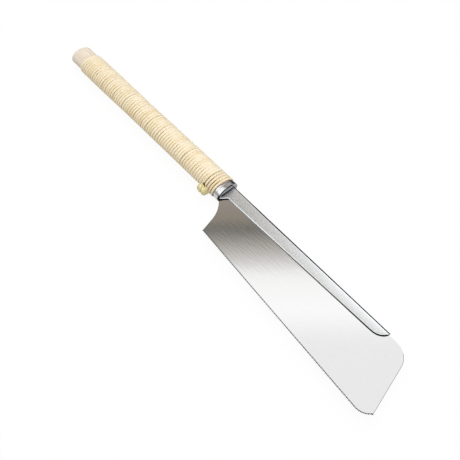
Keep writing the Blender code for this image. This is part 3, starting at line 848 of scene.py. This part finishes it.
def spineShare(x):
    # 0 at the foot, 1 at the nose
    return (x - spine["foot"]) / (spineNose - spine["foot"])


def spineEdges(x):
    # lower edge and back at a station: both straight, closing from the foot to the nose
    top = spine["back"] - spine["backFall"] * spineShare(x)
    return top - (spine["footWidth"] + (spine["tipWidth"] - spine["footWidth"]) * spineShare(x)), top


def spineLowerRun():
    # lower outline from the foot's tip up its flare, along the straight edge and round the nose, with the
    # directions that point into the leaf
    foot, run, radius = spine["foot"], spine["footRun"], spine["noseRadius"]
    footLow, flareTop = spineEdges(foot)[0], spineEdges(foot + run)[0]
    flareSteps, straightSteps, noseSteps = spine["lowerSteps"]
    share = np.linspace(0, 1, flareSteps)[:-1]
    flareY = footLow - spine["footDrop"] * (1 - share) + (flareTop - footLow) * share
    sweep = np.arccos(1 - (spine["tipWidth"] - spine["noseFlat"]) / radius)
    centre = np.array([spineNose - radius * np.sin(sweep), spineEdges(spineNose)[0] + radius])
    turned = np.linspace(0, sweep, noseSteps)
    nose = centre + radius * np.column_stack([np.sin(turned), -np.cos(turned)])
    straight = np.linspace(foot + run, nose[0, 0], straightSteps)[:-1]
    line = np.concatenate([np.column_stack([foot + run * share, flareY]),
                           np.column_stack([straight, spineEdges(straight)[0]]), nose])
    tangent = unit(np.gradient(line, axis=0))
    return line, np.column_stack([-tangent[:, 1], tangent[:, 0]])


def foldedSpine():
    # folded strip: at each station a section runs from the pocket up the cut wall, over a small eased edge
    # and the flat to the round fold at the back, and returns mirrored on the other side. Each row of the
    # section has a share of painted shade and a share of painted highlight
    lower, inward = spineLowerRun()
    x = lower[:, 0]
    share, top = spineShare(x), spineEdges(x)[1]
    height = top - lower[:, 1]
    half, pocket = spine["half"], spine["pocketHalf"]
    scale = np.clip(height / spine["fullHeight"], spine["leastScale"], 1)
    onFoot = 1 - ease((x - spine["foot"] - spine["footRun"]) / spine["footFade"])
    onTip = 1 - ease((x - spine["foot"]) / spine["tipFade"])
    nearNose, onNose = (ease((x - spineNose) / spine[run] + 1) for run in ("noseDark", "noseRun"))
    plainBead, noseBead, footBead = spine["bead"]
    bead = (plainBead + (noseBead - plainBead) * onNose + (footBead - plainBead) * onFoot) * scale
    leaf, foldRound, flat, rim = (spine[key] * scale for key in ("leafRound", "foldRound", "flatEdge", "rim"))
    bevel = spine["bevelWidth"] * scale * (1 + spine["footBevel"] * onFoot)
    lowerDark = np.interp(share, *spine["lowerDark"])
    strip = np.interp(share, *spine["foldDark"]) * scale
    fold = np.minimum(spine["foldWall"], np.maximum(height - spine["foldLeast"], spine["foldLeast"]))
    tilt = np.radians(spine["bevelTilt"])
    wallTop = half - leaf * np.cos(tilt) - bevel * np.tan(tilt)
    none, full = np.zeros_like(x), np.ones_like(x)
    least, riseFrom, riseRun = spine["wallDark"]
    wallShade = np.maximum(least + (1 - least) * ease((share - riseFrom) / riseRun), onFoot)

    def fromLower(inset, z):
        return np.stack([x + inward[:, 0] * inset, lower[:, 1] + inward[:, 1] * inset, z * full], axis=-1)

    def fromTop(inset, z):
        return np.stack([x, top - inset, z * full], axis=-1)

    beadSteps, leafSteps, foldSteps = spine["sectionSteps"]
    rows = [(fromTop(fold, pocket), full, none)]
    for turned in np.linspace(0, pi / 2, beadSteps):
        below, up = bead * (1 - np.sin(turned)), bead * (1 - np.cos(turned))
        rows.append((fromLower(-below, pocket + up), wallShade, none))
    for turned in np.linspace(0, pi / 2 - tilt, leafSteps):
        wall = wallShade * (1 - ease((turned - spine["leafTurn"]) / spine["leafTurn"]))
        rows.append((fromLower(leaf * (1 - np.cos(turned)), wallTop + leaf * np.sin(turned)),
                     np.maximum(wall, np.maximum(nearNose, onFoot)), none))
    bevelStart, bevelFoot = leaf * (1 - np.sin(tilt)), wallTop + leaf * np.cos(tilt)
    for step in spine["bevelRows"]:
        shine = spine["burnish"] * float(step > spine["bevelRows"][1])
        rows.append((fromLower(bevelStart + bevel * step, bevelFoot + bevel * step * np.tan(tilt)),
                     np.maximum(ease((lowerDark - step) / spine["lowerBlur"] + 0.5), onTip), shine * full))
    rows.append((fromLower(bevelStart + bevel + flat, half), none, none))
    edges = ((rim + strip + flat, 0, spine["burnish"]), (rim + strip, 0, 1),
             (strip + spine["rimEdge"] * scale, 0, 1), (strip, 1, 1))
    rows += [(fromTop(foldRound + inset, half), shade * full, shine * full) for inset, shade, shine in edges]
    for turned in np.linspace(0, pi / 2, foldSteps):
        inset, fall = foldRound * (1 - np.sin(turned)), foldRound * (1 - np.cos(turned))
        rows.append((fromTop(inset, half - fall), full, none))
    rows.append((fromTop(0.0, 0.0), full, none))
    side, wall, burnish = zip(*rows)
    section = np.stack(side + tuple(points * np.array([1, 1, -1]) for points in side[-2::-1]), axis=1)
    points = section.reshape(-1, 3)
    faces = outward(points, tubeFaces(*section.shape[:2]))
    tangPoints, tangFaces = tangLeaves()
    faces += [[corner + len(points) for corner in face] for face in outward(tangPoints, tangFaces)]
    plain = np.zeros(len(tangPoints))
    wallShare, burnish = (np.concatenate([np.stack(row + row[-2::-1], axis=1).ravel(), plain])
                          for row in (wall, burnish))
    return makePiece("foldedSpine", np.concatenate([points, tangPoints]), faces, "blade_unit",
                     spineFinish, {"wallShare": wallShare, "burnish": burnish}, sharpAngle=32,
                     stands=("spine",))


def tangLeaves():
    # the forked tang: two leaves with a round-ended slot for the pin, and the fold that joins them and
    # reaches a little into both. Each is a plate between two equal outlines
    rear, front = spine["foot"] - spine["tangLength"], spine["foot"] + spine["tangReach"]
    fork, tang, reach = spine["forkHalf"], spine["tangHalf"], spine["foldReach"]
    turned = np.linspace(pi / 2, -pi / 2, spine["forkSteps"])
    slot = np.column_stack([rear + spine["forkDepth"] - fork + fork * np.cos(turned), fork * np.sin(turned)])
    leaf = np.concatenate([[(rear, -tang), (front, -tang), (front, tang), (rear, tang), (rear, fork)], slot,
                           [(rear, -fork)]])
    foldRear, foldFront = rear + reach, front - reach
    foldLow, foldHigh = tang - spine["foldWall"], tang - reach
    fold = np.array([(foldRear, foldLow), (foldFront, foldLow), (foldFront, foldHigh), (foldRear, foldHigh)])
    half, pocket = spine["half"], spine["pocketHalf"]
    points, faces, base = [], [], 0
    plates = ((leaf, -half, -pocket), (leaf, pocket, half), (fold, -pocket - reach, pocket + reach))
    for outline, low, high in plates:
        count = len(outline)
        loop = np.arange(count) + base
        faces += bandFaces(count, base, base + count) + [loop[::-1].tolist(), (loop + count).tolist()]
        points += [np.column_stack([outline, np.full(count, z)]) for z in (low, high)]
        base += 2 * count
    return np.concatenate(points), faces


foldedSpine()


# Blade

blade = {
    "half": 0.15,
    "root": (294.8, -14.6),   # where the heel's curve starts at the foot
    "heel": (311.6, -52.1),
    "heelStraight": 17.5,
    "heelRake": 13.3,
    "lineLength": 225.4,
    "lineSlope": 3.82,
    "toeRadius": 16.9,
    "toeSweep": 60.9,
    "endSlant": 10.9,
    "endRound": 18.0,
    "pitch": 1.5,
    "toothHeight": 1.2,
    "toothLean": 0.35,
    "bevel": 0.62,            # how far the cut-back edge of a tooth lies up its height
    "topDrop": (1.1, 1.5),    # below the spine's back, at the foot and at the nose
    "tongueRear": 276.0,      # end of the tongue that lies in the tang
    "tongueStep": 0.1,
    "tongueClear": 0.3,
    "edgeBand": 0.4,
    "brightFrom": 0.40,       # share of the round corner after which the top edge is bright, and its fade
    "brightFade": 0.25,
    "arcSteps": (24, 28),     # on the heel's curve and the round corner
}


def turnedBy(degrees):
    # unit direction at an angle from +X
    return np.array([np.cos(np.radians(degrees)), np.sin(np.radians(degrees))])


def arcPoints(centre, radius, start, sweep, steps):
    angles = start + sweep * np.linspace(0, 1, steps + 1)
    return centre + radius * np.column_stack([np.cos(angles), np.sin(angles)])


def toothLine(distance):
    # points at a distance along the tooth tips, straight and then round the toe, and the inward directions
    heel, length, radius = np.array(blade["heel"]), blade["lineLength"], blade["toeRadius"]
    along, inward = turnedBy(-blade["lineSlope"]), turnedBy(90 - blade["lineSlope"])
    angle = (np.maximum(distance - length, 0) / radius)[:, None]
    outside = along * np.sin(angle) - inward * np.cos(angle)
    straight = heel + along * np.minimum(distance, length)[:, None]
    return np.where(angle > 0, heel + along * length + (inward + outside) * radius, straight), -outside


def bladeOutline(cutBack):
    # outline from the heel along the teeth, round the toe and back under the spine, a second one just inside
    # it that passes under the teeth, and the dark share of the edge. Every second tooth, starting with number
    # cutBack, is ground back on this side
    heel, root = np.array(blade["heel"]), np.array(blade["root"])
    foot, tongueRear = blade["root"][0], blade["tongueRear"]
    up, outside = turnedBy(90 + blade["heelRake"]), turnedBy(180 + blade["heelRake"])
    bend = heel + up * blade["heelStraight"]
    chord = root - bend
    radius = chord @ chord / (2 * chord @ outside)
    heelCentre = bend + outside * radius
    start, stop = (np.arctan2(*(point - heelCentre)[::-1]) for point in (root, bend))
    heelSteps, endSteps = blade["arcSteps"]
    heelArc = arcPoints(heelCentre, radius, start, stop - start, heelSteps)
    length = blade["lineLength"] + blade["toeRadius"] * np.radians(blade["toeSweep"])
    count = round(length / blade["pitch"])
    number, depth = np.arange(count), blade["toothHeight"]
    tips, tipInward = toothLine(length / count * (number + blade["toothLean"]))
    roots, rootInward = toothLine(length / count * (number + 1.0))
    ground = np.where(number % 2 == cutBack, blade["bevel"] * depth, 0.0)[:, None]
    teeth, gums = (np.stack([tips + tipInward * rise, roots + rootInward * depth], axis=1).reshape(-1, 2)[:-1]
                   for rise in (ground, depth))
    toe = toothLine(np.array([length]))[0][0]
    topStart = np.array([foot + blade["tongueStep"], spineEdges(foot)[1] - blade["topDrop"][0]])
    topEnd = np.array([spineNose, spineEdges(spineNose)[1] - blade["topDrop"][1]])
    topSlope = np.degrees(np.arctan2(*(topEnd - topStart)[::-1]))
    endAngle = 90 + blade["endSlant"]
    across, rising = turnedBy(topSlope + 90), turnedBy(endAngle)
    corner = toe + rising * ((topStart - toe) @ across) / (rising @ across)
    sweep = np.radians(180 - endAngle + topSlope)
    endCentre = corner + (turnedBy(endAngle + 90) - rising * np.tan(sweep / 2)) * blade["endRound"]
    endArc = arcPoints(endCentre, blade["endRound"], np.radians(endAngle - 90), sweep, endSteps)
    tongueTop, tongueLow = spine["tangHalf"] - blade["topDrop"][0], blade["tongueClear"] - spine["tangHalf"]
    tongue = [topStart, (topStart[0], tongueTop), (tongueRear, tongueTop), (tongueRear, tongueLow),
              (foot, tongueLow)]
    outer = np.concatenate([heelArc, [heel], teeth, [toe], endArc, tongue])
    smooth = np.concatenate([heelArc, [heel + up * depth], gums, [toe + rising * depth], endArc, tongue])
    tangent = unit(np.roll(smooth, -1, axis=0) - np.roll(smooth, 1, axis=0))
    inner = smooth + blade["edgeBand"] * np.column_stack([-tangent[:, 1], tangent[:, 0]])
    fading = 1 - ease((np.linspace(0, 1, len(endArc)) - blade["brightFrom"]) / blade["brightFade"])
    shade = np.concatenate([np.ones(len(heelArc) + len(teeth) + 2), fading, np.zeros(len(tongue))])
    return outer, inner, shade


def toothedBlade():
    # thin plate between two outlines: where a tooth is cut back on one side only, the wall between them
    # slopes and becomes the tooth's bevel. A narrow band inside each outline carries the dark colour of the
    # edge, from hardening and painted reflection on the teeth and painted shade on the heel and the end
    points, edgeShare = [], []
    for cutBack, z in ((0, -blade["half"]), (1, blade["half"])):
        outer, inner, shade = bladeOutline(cutBack)
        points += [np.column_stack([outline, np.full(len(shade), z)]) for outline in (outer, inner)]
        edgeShare += [shade, np.zeros_like(shade)]
    count = len(shade)
    lowOuter, lowInner, highOuter, highInner = (count * k for k in range(4))
    faces = []
    for first, second in ((lowOuter, highOuter), (highOuter, highInner), (lowInner, lowOuter)):
        faces += bandFaces(count, first, second)
    loop = np.arange(count)
    faces += [(loop + highInner).tolist(), (loop[::-1] + lowInner).tolist()]
    return makePiece("toothedBlade", np.concatenate(points), faces, "blade_unit", bladeFinish,
                     {"edgeShare": np.concatenate(edgeShare)}, sharpAngle=15, stands=("saw_blade",))


toothedBlade()


# The hidden pins keep their CAD shape

for name in ("socket_pin", "ferrule_pin_upper", "ferrule_pin_lower"):
    nodes[name].data.materials.clear()
    nodes[name].data.materials.append(hiddenFinish)
print("pieces done")


# Studio, in metres: a pale floor, soft light from above and behind, and cards that only gloss sees

studio = {
    "floorSize": 8.0,
    "floorBounce": "#c4c2be",
    "floorGlow": 0.93,
    "floorGlossGlow": 0.45,
    "ambient": 0.55,
    "boxHeight": 0.90,
    "boxSize": (1.0, 0.95),
    "boxCentre": (0.15, -0.25),    # right and away in the picture
    "boxPower": 4.2,
    "sideAt": (-0.25, 1.0, 1.05),
    "sideAim": (0.2, 0.0, 0.0),
    "sideSize": (0.9, 0.9),
    "sidePower": 3.6,
    "ceilingReach": (-0.6, 0.9),   # away in the picture
    "ceilingRight": (-0.5, 0.8, 1.7),
    "ceilingGlow": 1.6,
    "ceilingStops": (
        (-0.60, "#e9e9e9"), (-0.11, "#ececec"), (-0.02, "#fdfdfd"), (0.094, "#f6f6f4"), (0.147, "#cac7c4"),
        (0.202, "#a09b94"), (0.25, "#6c6a66"), (0.269, "#686664"), (0.273, "#8a8275"), (0.35, "#948c82"),
        (0.9, "#a9a5a2"),
    ),
    "dimStops": ((0.0, "#575757"), (1.0, "#6a6866")),
    "windowAt": -0.8,
    "windowReach": (-0.9, 0.6),
    "windowHeight": 1.6,
    "windowGlow": 1.8,
    "windowStops": ((0.0, "#505251"), (0.12, "#7c7e7d"), (0.2, "#b4b6b6"), (0.33, "#a8aaaa"),
                    (0.42, "#f4f6f6"), (1.0, "#ffffff")),
    "nearAt": -1.4,
    "wallSpan": (-0.02, 0.95),     # below the floor and above the ceiling
    "wallGlow": 1.0,
    "wallStops": ((0.0, "#2f3835"), (0.30, "#3c4642"), (0.48, "#b9b4b3"), (1.0, "#cac4c4")),
    "nearStops": ((0.0, "#3e4040"), (0.2, "#7c7e7e"), (0.5, "#9a9c9c"), (0.8, "#7a7c7c"), (1.0, "#6a6c6c")),
    "matX": (-0.15, 0.75),
    "matY": (0.045, 0.7),
    "matStops": ((0.0, "#333d39"), (1.0, "#2a3230")),
    "lift": 0.0002,                # between the saw, the mat and the floor
}
floorHeight = cadLow.z - studio["lift"]
picture = np.array([[np.cos(turn), np.sin(turn), 0.0], [-np.sin(turn), np.cos(turn), 0.0], [0.0, 0.0, 1.0]])


def emptyTree(owner):
    owner.use_nodes = True
    owner.node_tree.nodes.clear()
    return owner.node_tree


def stageMesh(name, points, material, share=None):
    # a flat floor or card that isn't part of the saw, with a share along it for its shade
    mesh = bpy.data.meshes.new(name)
    mesh.from_pydata(np.asarray(points).tolist(), [], [[0, 1, 2, 3]])
    if share is not None:
        layer = mesh.attributes.new("cardShare", "FLOAT", "POINT")
        layer.data.foreach_set("value", np.asarray(share, dtype=np.float32))
    mesh.materials.append(material)
    obj = bpy.data.objects.new(name, mesh)
    bpy.context.scene.collection.objects.link(obj)
    return obj


def paleFloor():
    # white paper: it glows nearly white to the eye and keeps a faint shadow, and is a pale bounce otherwise
    material = bpy.data.materials.new("whitePaper")
    tree = emptyTree(material)
    path = addNode(tree, "LightPath")
    bounce = addNode(tree, "BsdfDiffuse", {"Color": studio["floorBounce"]})
    paper = addNode(tree, "BsdfDiffuse", {"Color": "#ffffff"})
    glow = addNode(tree, "Emission", {"Color": "#ffffff", "Strength": 1.0})
    seen, mirrored = (addNode(tree, "MixShader", {0: studio[share]}, {1: paper, 2: glow})
                      for share in ("floorGlow", "floorGlossGlow"))
    shiny = addNode(tree, "Math", {"operation": "MAXIMUM"},
                    {0: (path, "Is Glossy Ray"), 1: (path, "Is Transmission Ray")})
    gloss = addNode(tree, "MixShader", None, {0: shiny, 1: bounce, 2: mirrored})
    mixed = addNode(tree, "MixShader", None, {0: (path, "Is Camera Ray"), 1: gloss, 2: seen})
    addNode(tree, "OutputMaterial", None, {0: mixed})
    half = studio["floorSize"] / 2
    corners = [(-half, -half), (half, -half), (half, half), (-half, half)]
    return stageMesh("paleFloor", [(x, y, floorHeight) for x, y in corners], material)


def glossCard(name, start, end, rise, stops, strength):
    # a card just outside the picture that only reflections see: an edge from start to end carried along its
    # rise, shaded from that edge to the opposite one
    material = bpy.data.materials.new(name)
    tree = emptyTree(material)
    along = addNode(tree, "Attribute", {"attribute_name": "cardShare"})
    tone = addNode(tree, "ValToRGB", {"stops": stops}, {0: (along, "Fac")})
    glow = addNode(tree, "Emission", {"Strength": strength}, {0: tone})
    addNode(tree, "OutputMaterial", None, {0: glow})
    card = stageMesh(name, [start, end, end + rise, start + rise], material, (0, 0, 1, 1))
    card.visible_camera = False
    card.visible_diffuse = False
    card.visible_shadow = False
    card.visible_transmission = False


def studioCards():
    # ceiling with the softbox's glow, which falls off away from the camera; a bright window on the left;
    # walls that darken towards the floor; a dark mat behind the saw. Places are right, away and up in the
    # picture
    (near, far), height = studio["ceilingReach"], studio["boxHeight"]
    left, middle, right = studio["ceilingRight"]
    window, close, (bottom, top) = studio["windowAt"], studio["nearAt"], studio["wallSpan"]
    stops = [((place - near) / (far - near), colour) for place, colour in studio["ceilingStops"]]
    wallRise, glow = (0, 0, top - bottom), studio["wallGlow"]
    windowStart, windowEnd = ((window, reach, 0) for reach in studio["windowReach"])
    cards = (
        ("ceilingCard", (left, near, height), (middle, near, height), (0, far - near, 0), stops,
         studio["ceilingGlow"]),
        ("dimCeiling", (middle, close, height), (right, close, height), (0, far - close, 0),
         studio["dimStops"], glow),
        ("windowCard", windowStart, windowEnd, (0, 0, studio["windowHeight"]), studio["windowStops"],
         studio["windowGlow"]),
        ("farWall", (window, far, bottom), (right, far, bottom), wallRise, studio["wallStops"], glow),
        ("rightWall", (right, close, bottom), (right, far, bottom), wallRise, studio["wallStops"], glow),
        ("nearWall", (window, close, bottom), (right, close, bottom), wallRise, studio["nearStops"], glow),
    )
    for name, start, end, rising, shades, strength in cards:
        glossCard(name, *(np.array(place) @ picture for place in (start, end, rising)), shades, strength)
    (matLeft, matRight), (matNear, matFar) = studio["matX"], studio["matY"]
    start, end = (np.array([x, matNear, floorHeight + studio["lift"]]) for x in (matLeft, matRight))
    glossCard("darkMat", start, end, np.array([0, matFar - matNear, 0]), studio["matStops"], glow)


def areaLight(name, place, aim, size, power):
    # a soft light that diffuse surfaces see; its glow on metal comes from the cards
    data = bpy.data.lights.new(name, "AREA")
    data.shape = "RECTANGLE"
    data.size, data.size_y = size
    data.energy = power
    lamp = bpy.data.objects.new(name, data)
    lamp.location = place
    lamp.rotation_mode = "QUATERNION"
    lamp.rotation_quaternion = (Vector(aim) - Vector(place)).to_track_quat("-Z", "Y")
    lamp.visible_glossy = False
    lamp.visible_camera = False
    bpy.context.scene.collection.objects.link(lamp)


def softLights():
    x, y, z = np.array([*studio["boxCentre"], studio["boxHeight"]]) @ picture
    areaLight("overheadSoftbox", (x, y, z), (x, y, 0), studio["boxSize"], studio["boxPower"])
    areaLight("sideSoftbox", studio["sideAt"], studio["sideAim"], studio["sideSize"], studio["sidePower"])


def whiteWorld():
    # white to the eye and to gloss, a plain lower level as fill light
    world = bpy.data.worlds.new("whiteRoom")
    bpy.context.scene.world = world
    tree = emptyTree(world)
    path = addNode(tree, "LightPath")
    fill, white = (addNode(tree, "Background", {"Color": "#ffffff", "Strength": level})
                   for level in (studio["ambient"], 1.0))
    eyes = addNode(tree, "Math", {"operation": "MAXIMUM"},
                   {0: (path, "Is Camera Ray"), 1: (path, "Is Glossy Ray")})
    glass = addNode(tree, "Math", {"operation": "MAXIMUM"}, {0: eyes, 1: (path, "Is Transmission Ray")})
    mixed = addNode(tree, "MixShader", None, {0: glass, 1: fill, 2: white})
    addNode(tree, "OutputWorld", None, {0: mixed})


paleFloor()
studioCards()
softLights()
whiteWorld()
bpy.context.scene.view_settings.view_transform = "Standard"
print("studio done")
